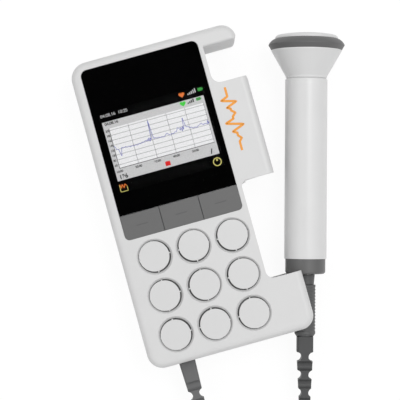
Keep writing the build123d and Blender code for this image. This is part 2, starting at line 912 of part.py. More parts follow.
def contact_plates():
    """Two plates at the lower end and one link plate at the upper end of the tray."""
    half = cell_radius - contact_inset
    z0 = cell_z - half
    z1 = cell_z + half
    x_left = tray_center_x - cell_spacing / 2
    x_right = tray_center_x + cell_spacing / 2
    low_end = tray_bottom + contact_sheet
    low_left = block(x_left - half, x_left + half, tray_bottom, low_end, z0, z1)
    low_right = block(x_right - half, x_right + half, tray_bottom, low_end, z0, z1)
    link = block(x_left - half, x_right + half, tray_top - contact_sheet, tray_top, z0, z1)
    return Compound(children=[low_left, low_right, link])


def contact_springs():
    """A coil spring against the flat end of each cell."""
    height = contact_spring_length - 2 * contact_spring_wire - contact_gap
    path = Helix(pitch=height / contact_spring_turns, height=height, radius=contact_spring_radius)
    section = Plane(origin=path @ 0, z_dir=path % 0) * Circle(contact_spring_wire)
    coil = sweep(section, path=path)
    x_left = tray_center_x - cell_spacing / 2
    x_right = tray_center_x + cell_spacing / 2
    low = tray_bottom + contact_sheet + contact_spring_wire
    high = tray_top - contact_sheet - contact_spring_wire
    first = Pos(x_left, low, cell_z) * Rot(-90, 0, 0) * coil
    second = Pos(x_right, high, cell_z) * Rot(90, 0, 0) * coil
    return Compound(children=[first, second])


def battery_cover():
    """Sliding cover in its dovetail recess, with thumb grooves and two pads under the cells."""
    door = prism_y(cover_profile(0, cover_inset, cover_top_z), bottom - past,
                   recess_end - cover_clearance)
    inner_slab = block(left, right, bottom + cover_inset, top, -past, unit_depth)
    door = door & (outer_slab() & inner_slab)
    for step in range(groove_count):
        y = tray_bottom + groove_start + step * groove_pitch
        groove = Rot(0, 90, 0) * Cylinder(groove_radius, groove_length)
        door = door - Pos(tray_center_x, y, cover_inset) * groove
    half = cover_pad_width / 2
    for side in (-1, 1):
        x = tray_center_x + side * cell_spacing / 2
        pad = block(x - half, x + half, tray_bottom + cover_travel + past,
                    tray_top - cover_pad_end, cover_top_z - cover_thickness / 2,
                    cell_z - cell_radius - cell_rest_gap)
        door = door + pad
    return door


def case_screws():
    """Four self-tapping screws with crossed slots, put in from the back."""
    screws = []
    head_low = counterbore_depth - screw_head_height
    half_long = screw_cross_length / 2
    half_wide = screw_cross_width / 2
    for x, y in post_places:
        head = disc(x, y, screw_head_radius, head_low, counterbore_depth)
        for half_x, half_y in ((half_long, half_wide), (half_wide, half_long)):
            head = head - block(x - half_x, x + half_x, y - half_y, y + half_y, 0,
                                head_low + screw_cross_depth)
        shank = disc(x, y, screw_radius, counterbore_depth, counterbore_depth + screw_length)
        screws.append(head + shank)
    return Compound(children=screws)


def headphone_jack():
    """3.5 mm socket under the upper end of the board."""
    mouth = top - jack_mouth_inset
    inner = top - side_wall - fit_clearance
    back = mouth - jack_bore_depth - jack_back
    body = block(jack_x - jack_width / 2, jack_x + jack_width / 2, back, inner,
                 jack_z - jack_drop, board_bottom)
    nose = rod_y(jack_x, jack_z, jack_nose_radius, inner, mouth)
    body = body + nose + rod_y(jack_x, jack_z, jack_bore_radius + jack_wall, back, mouth)
    return body - rod_y(jack_x, jack_z, jack_bore_radius, mouth - jack_bore_depth, mouth + past)


def lead_header():
    """Crimp housing of the lead's inner end, on the underside of the board."""
    half = header_width / 2
    y0 = board_low + header_gap
    y1 = tray_bottom - tray_wall - header_gap
    body = block(lead_x - half, lead_x + half, y0, y1, board_bottom - header_height,
                 board_bottom)
    slot_middle = board_bottom - header_height / 2
    for step in range(header_ways):
        x = lead_x + (step - (header_ways - 1) / 2) * header_pitch
        body = body - block(x - header_slot_width / 2, x + header_slot_width / 2, y0 - past,
                            y0 + header_slot_depth, slot_middle - header_slot_height / 2,
                            slot_middle + header_slot_height / 2)
    return body


# ---------------------------------------------------------------- probe

def probe_face():
    """Slightly crowned face with a rounded edge, a thin wall behind it and a rim into the head."""
    edge_z = collar_rise + face_edge_rise
    edge_radius = face_radius - face_rounding
    crown = face_rise - edge_z
    dome_radius = (edge_radius ** 2 + crown ** 2) / (2 * crown)
    dome_center_z = face_rise - dome_radius
    halfway_z = dome_center_z + math.sqrt(dome_radius ** 2 - (edge_radius / 2) ** 2)
    round_z = edge_z - face_rounding
    diagonal = face_rounding * math.sqrt(0.5)
    outline = Polyline((0, 0, face_rise), (0, 0, collar_rise), (face_radius, 0, collar_rise),
                       (face_radius, 0, round_z))
    outline = outline + ThreePointArc((face_radius, 0, round_z),
                                      (edge_radius + diagonal, 0, round_z + diagonal),
                                      (edge_radius, 0, edge_z))
    outline = outline + ThreePointArc((edge_radius, 0, edge_z), (edge_radius / 2, 0, halfway_z),
                                      (0, 0, face_rise))
    cap = revolve(make_face(outline), axis=Axis.Z)
    rim_radius = face_radius - face_step
    rim = along_axis(rim_radius, -collar_rise, face_rim)
    hollow = Pos(0, 0, dome_center_z) * Sphere(dome_radius - face_wall)
    hollow = hollow & along_axis(rim_radius - face_wall, -far, face_rim + past)
    return cap + rim - hollow


def probe_collar():
    """Soft grey ring around the head, widest a little above its lower edge."""
    inner = face_radius - face_step + fit_clearance
    low_edge = (head_radius - collar_edge / 3, 0, -collar_edge)
    high_edge = (head_radius - collar_edge / 3, 0, collar_edge)
    top_edge = (collar_top_radius, 0, collar_rise)
    swell = ((high_edge[0] + top_edge[0]) / 2 + collar_swell, 0,
             (high_edge[2] + top_edge[2]) / 2 + collar_swell)
    outline = Polyline(top_edge, (inner, 0, collar_rise), (inner, 0, -collar_height),
                       (head_lower_radius, 0, -collar_height), low_edge)
    outline = outline + ThreePointArc(low_edge, (head_radius, 0, 0), high_edge)
    outline = outline + ThreePointArc(high_edge, swell, top_edge)
    return revolve(make_face(outline), axis=Axis.Z)


def probe_head():
    """Conical head shell with a seat for the collar and a spigot into the handle."""
    seat = -collar_height
    rim_seat = face_radius - face_step
    ledge = rim_seat - head_ledge
    spigot = bore_radius - fit_clearance
    return turned([
        (ledge, seat + head_seat), (rim_seat, seat + head_seat), (rim_seat, seat),
        (head_lower_radius - fit_clearance, seat),
        (head_lower_radius - fit_clearance, seat - head_lip),
        (neck_joint_radius + joint_rounding / 3, -head_length + neck_band),
        (neck_joint_radius, -head_length + joint_rounding),
        (neck_joint_radius - joint_rounding, -head_length),
        (spigot, -head_length), (spigot, -head_length - spigot_length),
        (spigot - head_wall, -head_length - spigot_length),
        (spigot - head_wall, -head_length + head_seat), (ledge, seat - head_seat),
    ])


def probe_handle():
    """Round handle tube with softened ends."""
    tube_body = along_axis(handle_radius, head_length, handle_end)
    tube_body = fillet(tube_body.edges().group_by(Axis.Z)[-1], joint_rounding)
    return tube_body - along_axis(bore_radius, head_length - past, handle_end + past)


def probe_cap():
    """Grey end cap with a spigot into the handle and a hole for the plug socket."""
    body = along_axis(cap_radius, handle_end, cap_end)
    body = fillet(body.edges().group_by(Axis.Z)[0], cap_rounding)
    spigot_radius = bore_radius - fit_clearance
    spigot = along_axis(spigot_radius, handle_end - spigot_length, handle_end)
    groove = along_axis(far, seal_place - seal_section, seal_place + seal_section)
    groove = groove - along_axis(bore_radius - 2 * seal_section, -far, far)
    hole = along_axis(socket_radius + fit_clearance, -far, far)
    return body + spigot - groove - hole


def cap_seal():
    """O-ring in the cap's spigot."""
    section = seal_section - seal_squeeze
    return Pos(0, 0, -seal_place) * Torus(bore_radius - section, section)


def probe_socket():
    """Plastic insert in the cap with the bore for the plug's barrel."""
    body = along_axis(socket_radius, socket_start - socket_length, socket_start)
    bore = along_axis(socket_bore_radius, barrel_start - socket_bore_reach, cap_end + past)
    return body - bore


def probe_board():
    """Narrow circuit board along the handle, with three packages."""
    middle = probe_board_middle
    board = Pos(0, 0, -middle) * Box(probe_board_width, probe_board_thickness,
                                     probe_board_length)
    chip_y = (probe_board_thickness + probe_chip_height) / 2
    for step, length in ((-1, probe_chip_small), (0, probe_chip_large), (1, probe_chip_small)):
        chip = Box(probe_chip_small, probe_chip_height, length)
        board = board + Pos(0, chip_y, -middle + step * probe_chip_pitch) * chip
    return board


def screen_tube():
    """Thin metal screen around the probe's board, a sliding fit in the handle."""
    outer = bore_radius - fit_clearance
    body = along_axis(outer, screen_tube_start, screen_tube_end)
    body = body - along_axis(outer - screen_tube_wall, screen_tube_start - past,
                             screen_tube_end + past)
    inside = along_axis(outer - screen_tube_wall / 2, screen_tube_start, screen_tube_end)
    length = screen_tube_end - screen_tube_start
    middle = (screen_tube_start + screen_tube_end) / 2
    rail_inner = probe_board_width / 2 - rail_grip
    slot_outer = probe_board_width / 2 + rail_clearance
    for side in (-1, 1):
        rail = Pos(side * (rail_inner + outer) / 2, 0, -middle)
        rail = rail * Box(outer - rail_inner, rail_height, length)
        slot = Pos(side * slot_outer / 2, 0, -middle)
        slot = slot * Box(slot_outer, probe_board_thickness + 2 * rail_clearance,
                          length + 2 * past)
        body = body + (rail & inside) - slot
    return body


def crystal_carrier():
    """Disc behind the face that holds the two crystals."""
    radius = face_radius - face_step - face_wall - carrier_clearance
    return along_axis(radius, crystal_depth, crystal_depth + carrier_thickness)


def crystals():
    """Transmitting and receiving half discs, side by side on the carrier."""
    whole = along_axis(crystal_radius, crystal_depth - crystal_thickness, crystal_depth)
    half_gap = crystal_gap / 2
    right_half = whole & block(half_gap, far, -far, far, -far, far)
    left_half = whole & block(-far, -half_gap, -far, far, -far, far)
    return Compound(children=[right_half, left_half])


def crystal_backing():
    """Foam plug between the carrier and the head's neck."""
    start = crystal_depth + carrier_thickness
    radius = neck_joint_radius - head_wall - backing_gap
    return along_axis(radius, start, start + backing_length)


# ---------------------------------------------------------------- lead

def plug_nose():
    """Tapered nose of the plug, up against the probe's cap."""
    return turned([(0, -nose_start), (nose_radius, -nose_start), (nose_end_radius, -nose_end),
                   (0, -nose_end)])


def plug_barrel():
    """Metal barrel with contact pins, inside the probe's socket."""
    barrel = along_axis(barrel_radius, barrel_start, nose_start)
    floor_place = nose_start - barrel_floor
    barrel = barrel - along_axis(barrel_radius - barrel_wall, barrel_start - past, floor_place)
    pin = along_axis(pin_radius, floor_place - pin_length, floor_place + barrel_floor / 2)
    for step in range(pin_count):
        angle = math.radians(360 / pin_count * step)
        barrel = barrel + Pos(pin_circle * math.cos(angle), pin_circle * math.sin(angle), 0) * pin
    return barrel


def plug_grip():
    """Ribbed grip with a chamfer at its cable end."""
    points = [(0, -grip_start), (grip_radius, -grip_start)]
    count = int((grip_length - grip_rib_start) // grip_rib_pitch)
    low_radius = grip_radius - grip_rib_depth
    for step in range(count):
        s = -grip_start - grip_rib_start - step * grip_rib_pitch
        points.append((grip_radius, s))
        points.append((low_radius, s - grip_rib_pitch * 0.3))
        points.append((low_radius, s - grip_rib_pitch * 0.5))
        points.append((grip_radius, s - grip_rib_pitch * 0.8))
    foot_radius = relief_width / 2 + relief_foot_overhang
    points.append((grip_radius, -grip_end))
    points.append((foot_radius, -grip_end - grip_chamfer))
    points.append((0, -grip_end - grip_chamfer))
    return turned(points)


def relief(start, length, straight, tip_width, side_notches, front_notches):
    """Square strain relief that thins towards its tip, bitten from the sides and the front."""
    end = start + length
    base = rounded_square(relief_width, relief_corner, -(start + straight))
    body = extrude(base, amount=straight)
    tip_corner = relief_corner * tip_width / relief_width
    body = body + loft([base, rounded_square(tip_width, tip_corner, -end)])
    offset = relief_neck / 2 + relief_notch_radius
    bite = Cylinder(relief_notch_radius, 2 * relief_width)
    for s in side_notches:
        for side in (-1, 1):
            body = body - Pos(side * offset, 0, -s) * Rot(90, 0, 0) * bite
    for s in front_notches:
        for side in (-1, 1):
            body = body - Pos(0, side * offset, -s) * Rot(0, 90, 0) * bite
    return body


def plug_relief():
    """Strain relief behind the plug's grip."""
    first_side = relief_start + relief_block + relief_notch_radius
    sides = [first_side + step * relief_pitch for step in range(plug_relief_notches)]
    fronts = [s + relief_pitch / 2 for s in sides[:-1]]
    return relief(relief_start, relief_length, relief_block, relief_tip_width, sides, fronts)


def unit_relief():
    """Strain relief of the unit's end, moulded with the collar that the two covers clamp."""
    flange = along_axis(lead_flange_radius, 0, lead_flange_thickness)
    neck = along_axis(lead_neck_radius, -side_wall - lead_inner_flange / 2, 0)
    inner_start = side_wall + fit_clearance
    inner = along_axis(lead_flange_radius, -inner_start - lead_inner_flange, -inner_start)
    fronts = [unit_front_notch + step * relief_pitch for step in range(unit_relief_notches)]
    sides = [s + relief_pitch / 2 for s in fronts]
    body = relief(lead_flange_thickness, unit_relief_length, unit_relief_block,
                  unit_relief_tip_width, sides, fronts)
    return unit_lead_plane * (flange + neck + inner + body)


def smooth_path(points):
    """Straight runs joined by the largest arcs that they allow. Returns the path and its radii."""
    radii = []
    for before, here, after in zip(points, points[1:], points[2:]):
        incoming = here - before
        outgoing = after - here
        turn = math.radians(incoming.get_angle(outgoing))
        shorter = min(incoming.length, outgoing.length)
        radii.append(0.45 * shorter / math.tan(turn / 2))
    return FilletPolyline(*points, radius=radii), radii


def tube(points, diameter, label):
    """A round tube along a smooth path, with its radii and its volume printed."""
    path, radii = smooth_path(points)
    section = Plane(origin=path @ 0, z_dir=path % 0) * Circle(diameter / 2)
    solid = sweep(section, path=path)
    ideal = math.pi * diameter ** 2 / 4 * path.length
    print(f"{label}: length {path.length:.1f}, volume {solid.volume:.0f} of {ideal:.0f}, radii",
          [round(radius, 1) for radius in radii])
    return solid


def lead_pieces():
    """Straight tail at the unit, the curl, and the straight tail at the plug."""
    curl_first = (unit_tail[-1] + loop_points[0]) / 2
    curl_last = (loop_points[-1] + plug_tail[0]) / 2
    first = tube(unit_tail + [curl_first], cable_diameter, "unit tail")
    curl = tube([curl_first] + loop_points + [curl_last], curl_diameter, "curl")
    last = tube([curl_last] + plug_tail, cable_diameter, "plug tail")
    return first, curl, last


# ---------------------------------------------------------------- all pieces

def build_all():
    """Every node by name, in place."""
    nodes = {}
    shell = housing()
    nodes["front_cover"] = front_cover(shell)
    nodes["rear_cover"] = rear_cover(shell)
    nodes["display_window"] = display_window()
    frame, guide, panel = screen_pieces()
    nodes["screen_frame"] = frame
    nodes["screen_light_guide"] = guide
    nodes["screen_panel"] = panel
    for index in range(9):
        nodes[f"key_{index + 1}"] = round_key(index)
    for index, side in enumerate(("left", "middle", "right")):
        nodes[f"soft_key_{side}"] = soft_key(index)
    nodes["keypad_mat"] = keypad_mat()
    nodes["main_board"] = main_board()
    nodes["board_chips"] = board_chips()
    nodes["board_shield"] = board_shield()
    gasket, basket, cone, magnet = speaker_pieces()
    nodes["speaker_gasket"] = gasket
    nodes["speaker_basket"] = basket
    nodes["speaker_cone"] = cone
    nodes["speaker_magnet"] = magnet
    nodes["battery_1"] = battery(0)
    nodes["battery_2"] = battery(1)
    nodes["contact_plates"] = contact_plates()
    nodes["contact_springs"] = contact_springs()
    nodes["battery_cover"] = battery_cover()
    nodes["case_screws"] = case_screws()
    nodes["headphone_jack"] = headphone_jack()
    nodes["lead_header"] = lead_header()
    nodes["unit_strain_relief"] = unit_relief()
    first, curl, last = lead_pieces()
    nodes["lead_unit_tail"] = first
    nodes["lead_curl"] = curl
    nodes["lead_plug_tail"] = last
    on_probe = {
        "plug_nose": plug_nose(), "plug_barrel": plug_barrel(), "plug_grip": plug_grip(),
        "plug_strain_relief": plug_relief(), "probe_face": probe_face(),
        "probe_collar": probe_collar(), "probe_head": probe_head(),
        "probe_handle": probe_handle(), "probe_cap": probe_cap(), "cap_seal": cap_seal(),
        "probe_socket": probe_socket(), "probe_board": probe_board(),
        "probe_screen_tube": screen_tube(), "crystal_carrier": crystal_carrier(),
        "crystals": crystals(), "crystal_backing": crystal_backing(),
    }
    for name, piece in on_probe.items():
        nodes[name] = probe_plane * piece
    return nodes


for name, piece in build_all().items():
    export_step(piece, f"parts/{name}.step")
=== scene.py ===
import math

import bpy
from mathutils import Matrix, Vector


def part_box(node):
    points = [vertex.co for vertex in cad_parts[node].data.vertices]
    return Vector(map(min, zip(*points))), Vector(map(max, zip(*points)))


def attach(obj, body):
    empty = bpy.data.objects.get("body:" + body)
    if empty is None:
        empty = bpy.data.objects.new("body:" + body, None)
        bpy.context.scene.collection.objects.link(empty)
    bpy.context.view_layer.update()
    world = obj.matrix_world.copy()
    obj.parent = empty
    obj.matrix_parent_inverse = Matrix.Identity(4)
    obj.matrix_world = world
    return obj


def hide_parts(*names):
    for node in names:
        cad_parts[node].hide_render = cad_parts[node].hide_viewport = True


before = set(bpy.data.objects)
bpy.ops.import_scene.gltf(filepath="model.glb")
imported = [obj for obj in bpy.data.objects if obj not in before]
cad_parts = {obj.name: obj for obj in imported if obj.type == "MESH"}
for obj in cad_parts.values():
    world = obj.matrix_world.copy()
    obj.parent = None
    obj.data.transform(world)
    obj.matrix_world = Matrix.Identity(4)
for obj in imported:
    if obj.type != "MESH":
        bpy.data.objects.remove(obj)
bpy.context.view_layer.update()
mm = 0.001

# ---- Camera ---------------------------------------------------------------------------------
# It looks down on the unit from above, almost square to the front face, and is turned so that
# the unit leans to the left and the probe stands upright at its right.
camera_target = Vector((2.98, -2.8, 27.0)) * mm
camera_distance = 681.2 * mm
camera_tilt = math.radians(2.2)
camera_turn = math.radians(-15.5)
camera_lens = 138.6

bpy.ops.object.camera_add(rotation=(camera_tilt, 0, camera_turn))
camera = bpy.context.object
camera.data.lens = camera_lens
bpy.context.view_layer.update()
camera.location = camera_target + camera.matrix_world.to_3x3() @ Vector((0, 0, camera_distance))
bpy.context.scene.camera = camera

# ---- Lead -----------------------------------------------------------------------------------
# Round cable in a soft grey jacket with a faint drawn grain. It leaves the unit's strain relief,
# drops to the table, runs round an open loop as a tight curl and ends in the plug's relief.
cable_diameter = 2.6 * mm
curl_radius = 4.45 * mm
curl_pitch = 3.0 * mm
curl_run_in = 16.0 * mm
run_in_stretch = 5.0
points_per_turn = 14
curl_height = 5.75
route_steps = 60

# The route's points are in millimetres.
unit_tail = [(-21.85, -107.15, 13.0), (-21.85, -114.35, 13.0), (-22.35, -121.5, 8.2),
             (-24.05, -130.0, curl_height)]
loop_points = [(-31.0, -148.0), (-43.5, -166.0), (-49.0, -188.0), (-40.0, -210.0),
               (-20.0, -222.5), (3.0, -224.0), (25.5, -216.0), (42.0, -199.0), (47.5, -177.0),
               (41.0, -156.5), (30.5, -141.5)]
plug_tail = [(21.15, -131.05, curl_height), (18.95, -123.25, 8.6), (20.14, -116.3, 11.7),
             (21.78, -110.53, 11.89)]
route = unit_tail + [(x, y, curl_height) for x, y in loop_points] + plug_tail


def nurbs_curve(name, points, diameter):
    """One open NURBS spline through control points in metres, round if it has a diameter."""
    data = bpy.data.curves.new(name, "CURVE")
    data.dimensions = "3D"
    spline = data.splines.new("NURBS")
    spline.points.add(len(points) - 1)
    for point, place in zip(spline.points, points):
        point.co = (*place, 1)
    spline.order_u = 3
    spline.use_endpoint_u = True
    data.bevel_depth = diameter / 2
    curve = bpy.data.objects.new(name, data)
    bpy.context.scene.collection.objects.link(curve)
    return curve


route_curve = nurbs_curve("lead_route", [Vector(point) * mm for point in route], 0)
route_curve.data.splines[0].resolution_u = route_steps
bpy.context.view_layer.update()
route_mesh = bpy.data.meshes.new_from_object(route_curve)
walk = [vertex.co.copy() for vertex in route_mesh.vertices]
bpy.data.objects.remove(route_curve)

distances = [0.0]
for before, after in zip(walk, walk[1:]):
    distances.append(distances[-1] + (after - before).length)


def along_route(distance):
    """Place and direction on the route at a distance from its start."""
    index = max(i for i, passed in enumerate(distances[:-1]) if passed <= distance)
    share = (distance - distances[index]) / (distances[index + 1] - distances[index])
    direction = (walk[index + 1] - walk[index]).normalized()
    return walk[index].lerp(walk[index + 1], share), direction


def nearest_distance(place):
    """Distance along the route at which it passes nearest to a place."""
    gaps = [(vertex - place).length for vertex in walk]
    return distances[gaps.index(min(gaps))]


first_loop_point = Vector((*loop_points[0], curl_height))
last_loop_point = Vector((*loop_points[-1], curl_height))
curl_start = nearest_distance((Vector(unit_tail[-1]) + first_loop_point) / 2 * mm)
curl_end = nearest_distance((Vector(plug_tail[0]) + last_loop_point) / 2 * mm)
curl_points = []
distance = curl_start
angle = 0.0
while distance < curl_end:
    place, direction = along_route(distance)
    side = direction.cross(Vector((0, 0, 1))).normalized()
    rise = side.cross(direction)
    run_in = min(1, (distance - curl_start) / curl_run_in, (curl_end - distance) / curl_run_in)
    radius = curl_radius * run_in * run_in * (3 - 2 * run_in)
    curl_points.append(place + side * radius * math.cos(angle) + rise * radius * math.sin(angle))
    distance += curl_pitch * (1 + run_in_stretch * (1 - run_in)) / points_per_turn
    angle += 2 * math.pi / points_per_turn

lead_line = [Vector(point) * mm for point in unit_tail] + curl_points
lead_line += [Vector(point) * mm for point in plug_tail]
lead_cable = nurbs_curve("lead_cable", lead_line, cable_diameter)
lead_cable.data.splines[0].resolution_u = 2
lead_cable.data.bevel_resolution = 3
lead_length = sum((b - a).length for a, b in zip(lead_line, lead_line[1:]))


class Socket:
    """One output socket of a node tree. Arithmetic on it adds Math nodes."""

    def __init__(self, tree, socket):
        self.tree = tree
        self.socket = socket

    def node(self, kind, settings, inputs, out=0):
        """Add a node, set it up, feed its sockets with values or links, and return one output."""
        new = self.tree.nodes.new(kind)
        for name, value in settings.items():
            setattr(new, name, value)
        for name, value in inputs.items():
            if isinstance(value, Socket):
                self.tree.links.new(value.socket, new.inputs[name])
            else:
                new.inputs[name].default_value = value
        return Socket(self.tree, new.outputs[out])

    def maths(self, operation, *others):
        """Add one Math node that starts with this value."""
        return self.node("ShaderNodeMath", {"operation": operation},
                         dict(enumerate((self, *others))))

    def __add__(self, other):
        return self.maths("ADD", other)

    __radd__ = __add__

    def __sub__(self, other):
        return self.maths("SUBTRACT", other)

    def __rsub__(self, other):
        return self.maths("MULTIPLY", -1) + other

    def __mul__(self, other):
        return self.maths("MULTIPLY", other)

    __rmul__ = __mul__

    def __gt__(self, other):
        return self.maths("GREATER_THAN", other)

    def __lt__(self, other):
        return self.maths("LESS_THAN", other)

    def mixed(self, dark, light):
        """Blend two colours, each of three numbers, by this value."""
        return self.node("ShaderNodeMix", {"data_type": "RGBA"},
                         {0: self, 6: (*dark, 1), 7: (*light, 1)}, out=2)

    def noise(self, size, detail=2.0):
        """Noise on these coordinates whose lumps are about the given size in metres."""
        return self.node("ShaderNodeTexNoise", {}, {"Vector": self, "Scale": 1 / size,
                                                    "Detail": detail})

    def stretched(self, x, y, z):
        """These coordinates, scaled along each axis."""
        return self.node("ShaderNodeMapping", {}, {"Vector": self, "Scale": (x, y, z)})

    def axes(self):
        """The three numbers of a vector."""
        split = self.node("ShaderNodeSeparateXYZ", {}, {0: self}).socket.node
        return [Socket(self.tree, output) for output in split.outputs]

    def feed(self, shader, name):
        """Link this value to a shader's socket."""
        self.tree.links.new(self.socket, shader.inputs[name])


def new_material(name):
    """A material with one Principled shader: the material, the shader and Object coordinates."""
    material = bpy.data.materials.new(name)
    material.use_nodes = True
    tree = material.node_tree
    shader = tree.nodes["Principled BSDF"]
    coordinates = tree.nodes.new("ShaderNodeTexCoord")
    return material, shader, Socket(tree, coordinates.outputs["Object"])


def shade(colour, factor):
    """A colour made darker or lighter."""
    return tuple(min(1, part * factor) for part in colour)


cloud_size = 14 * mm
cloud_sheen = 0.08
grain_sheen = 0.04


def finish_surface(shader, place, colour, roughness, grain, depth, mottle=0.03):
    """An uneven sheen and a fine grain in the surface, and faint cloudiness in a plain colour."""
    cloud = place.noise(cloud_size, 3.0)
    if isinstance(colour, Socket):
        colour.feed(shader, "Base Color")
    else:
        cloud.mixed(shade(colour, 1 - mottle), shade(colour, 1 + mottle)).feed(shader, "Base Color")
    fine = place.noise(grain, 3.0)
    smoothest = roughness - (cloud_sheen + grain_sheen) / 2
    (cloud * cloud_sheen + fine * grain_sheen + smoothest).feed(shader, "Roughness")
    bump = fine.node("ShaderNodeBump", {}, {"Height": fine, "Distance": depth})
    bump.feed(shader, "Normal")


def moulded(name, colour, roughness, grain=0.25 * mm, depth=0.004 * mm):
    """Moulded plastic or rubber."""
    material, shader, place = new_material(name)
    finish_surface(shader, place, colour, roughness, grain, depth)
    return material


def dress(material, *nodes):
    """Give CAD nodes a material."""
    for name in nodes:
        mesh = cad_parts[name].data
        mesh.materials.clear()
        mesh.materials.append(material)


jacket_grey = (0.085, 0.086, 0.088)
lead_cable.data.materials.append(
    moulded("soft_cable_jacket", jacket_grey, 0.55, grain=0.4 * mm, depth=0.01 * mm))
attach(lead_cable, "unit")
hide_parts("lead_unit_tail", "lead_curl", "lead_plug_tail")

# ---- Housing of the unit --------------------------------------------------------------------
# Front and rear cover and the battery door, injection-moulded in one cool white plastic with a
# fine eroded grain, screwed together from the back.
housing_white = (0.68, 0.68, 0.68)
dress(moulded("white_housing_plastic", housing_white, 0.42), "front_cover", "rear_cover",
      "battery_cover")

# ---- Round keys -----------------------------------------------------------------------------
# Nine hard keys that their guide ribs hold in the holes: a smooth cap of the same white plastic.
# Below a thin top band the key's sides carry painted shade in dark grey, which shows as a thin
# dark line of shade in the ring gap.
unshaded_top_depth = 0.3 * mm
gap_shade_grey = (0.2, 0.2, 0.202)
key_material, shader, place = new_material("white_key_plastic_painted_gap_shade")
# Painted shade: all of the key lower than a thin band under its top is coloured dark grey.
above = place.axes()[2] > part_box("key_1")[1][2] - unshaded_top_depth
finish_surface(shader, place, above.mixed(gap_shade_grey, housing_white), roughness=0.36,
               grain=0.4 * mm, depth=0.002 * mm)
dress(key_material, *[f"key_{index + 1}" for index in range(9)])

# ---- Soft keys ------------------------------------------------------------------------------
# Three flush keys of mid-grey plastic under the window, each with a short dash moulded on it,
# a little darker than the key.
soft_key_grey = (0.127, 0.127, 0.127)
dash_length = 5.2 * mm
dash_width = 0.45 * mm
dash_rise = 0.04 * mm
dash_rounding = 0.9 * dash_rise
dash_shade = 0.78

dress(moulded("grey_key_plastic", soft_key_grey, 0.45), "soft_key_left", "soft_key_middle",
      "soft_key_right")
dash_plastic = moulded("grey_dash_plastic", shade(soft_key_grey, dash_shade), 0.5)


def box_piece(name, low, high, material):
    """A box between two corners in metres, its place in its mesh."""
    bpy.ops.object.select_all(action="DESELECT")
    low = Vector(low)
    high = Vector(high)
    bpy.ops.mesh.primitive_cube_add(size=1, location=(low + high) / 2)
    piece = bpy.context.object
    piece.name = name
    piece.data.name = name
    piece.scale = high - low
    bpy.ops.object.transform_apply(location=True, rotation=True, scale=True)
    piece.data.materials.append(material)
    return piece


def round_edges(piece, width):
    """Round a piece's sharp edges."""
    modifier = piece.modifiers.new("rounding", "BEVEL")
    modifier.width = width
    modifier.segments = 2
    bpy.context.view_layer.objects.active = piece
    bpy.ops.object.modifier_apply(modifier=modifier.name)


for side in ("left", "middle", "right"):
    low, high = (Vector(corner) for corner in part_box(f"soft_key_{side}"))
    middle = (low + high) / 2
    dash = box_piece(f"soft_key_dash_{side}",
                     (middle.x - dash_length / 2, middle.y - dash_width / 2, high.z - dash_rise),
                     (middle.x + dash_length / 2, middle.y + dash_width / 2, high.z + dash_rise),
                     dash_plastic)
    round_edges(dash, dash_rounding)
    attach(dash, f"soft_key_{side}_body")

# ---- Display window -------------------------------------------------------------------------
# A clear polished pane let into the front cover. Its back and its edges carry a black print
# that leaves only the screen's lit area free.
pane_corner = 2.9 * mm
pane_polish = 0.12 * mm
edge_slope = 0.3
acrylic_ior = 1.49
print_black = (0.0006, 0.0006, 0.0008)
print_thickness = 0.03 * mm
print_gap = 0.02 * mm
screen_low = Vector((-30.75, 9.4)) * mm
screen_high = Vector((18.15, 46.2)) * mm

clear_material, shader, place = new_material("clear_window_plastic")
shader.inputs["Transmission Weight"].default_value = 1.0
shader.inputs["IOR"].default_value = acrylic_ior
shader.inputs["Base Color"].default_value = (0.97, 0.97, 0.98, 1)
(place.noise(30 * mm) * 0.02).feed(shader, "Roughness")
black_print, shader, place = new_material("black_window_print")
shader.inputs["Specular IOR Level"].default_value = 0.0
finish_surface(shader, place, print_black, roughness=0.5, grain=0.1 * mm, depth=0.001 * mm,
               mottle=0.1)

pane_low, pane_high = (Vector(corner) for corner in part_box("display_window"))
print_top = pane_low.z + print_gap + print_thickness
pane = box_piece("window_pane", (pane_low.x, pane_low.y, print_top + print_gap), pane_high,
                 clear_material)
bpy.ops.object.mode_set(mode="EDIT")
bpy.ops.mesh.select_mode(type="EDGE")
bpy.ops.mesh.select_all(action="DESELECT")
bpy.ops.object.mode_set(mode="OBJECT")
for edge in pane.data.edges:
    ends = [pane.data.vertices[index].co for index in edge.vertices]
    upright = abs(ends[0].z - ends[1].z) > pane_polish
    edge.select = upright and ends[0].y > (pane_low.y + pane_high.y) / 2
bpy.ops.object.mode_set(mode="EDIT")
bpy.ops.mesh.bevel(offset=pane_corner, segments=8, affect="EDGES")
bpy.ops.object.mode_set(mode="OBJECT")
round_edges(pane, pane_polish)
pane.data.materials.append(black_print)
for face in pane.data.polygons:
    face.material_index = 1 if abs(face.normal.z) < edge_slope else 0
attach(pane, "unit")
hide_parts("display_window")

window_print = box_piece("window_print", (pane_low.x, pane_low.y, pane_low.z + print_gap),
                         (pane_high.x, pane_high.y, print_top), black_print)
opening = box_piece("window_print_opening", (*screen_low, pane_low.z - mm),
                    (*screen_high, print_top + mm), black_print)
cut = window_print.modifiers.new("opening", "BOOLEAN")
cut.object = opening
cut.solver = "EXACT"
bpy.context.view_layer.objects.active = window_print
bpy.ops.object.modifier_apply(modifier=cut.name)
bpy.data.objects.remove(opening)
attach(window_print, "unit")

# ---- Screen ---------------------------------------------------------------------------------
# Colour panel in a sheet-metal frame, lit from behind by a clear guide. The lit picture is a
# chart of a pulse with its scales, small signs above and below it, and a few numbers.
pixel_pitch = 0.153 * mm
pixel_share = 0.42
dark_line = 0.7
sheet_step = 0.008 * mm
picture_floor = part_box("screen_panel")[1][2] + 0.25 * sheet_step

panel_material, shader, place = new_material("dark_screen_panel")
shader.inputs["Specular IOR Level"].default_value = 0.1
finish_surface(shader, place, print_black, roughness=0.25, grain=0.1 * mm, depth=0.0005 * mm,
               mottle=0.1)
dress(panel_material, "screen_panel")

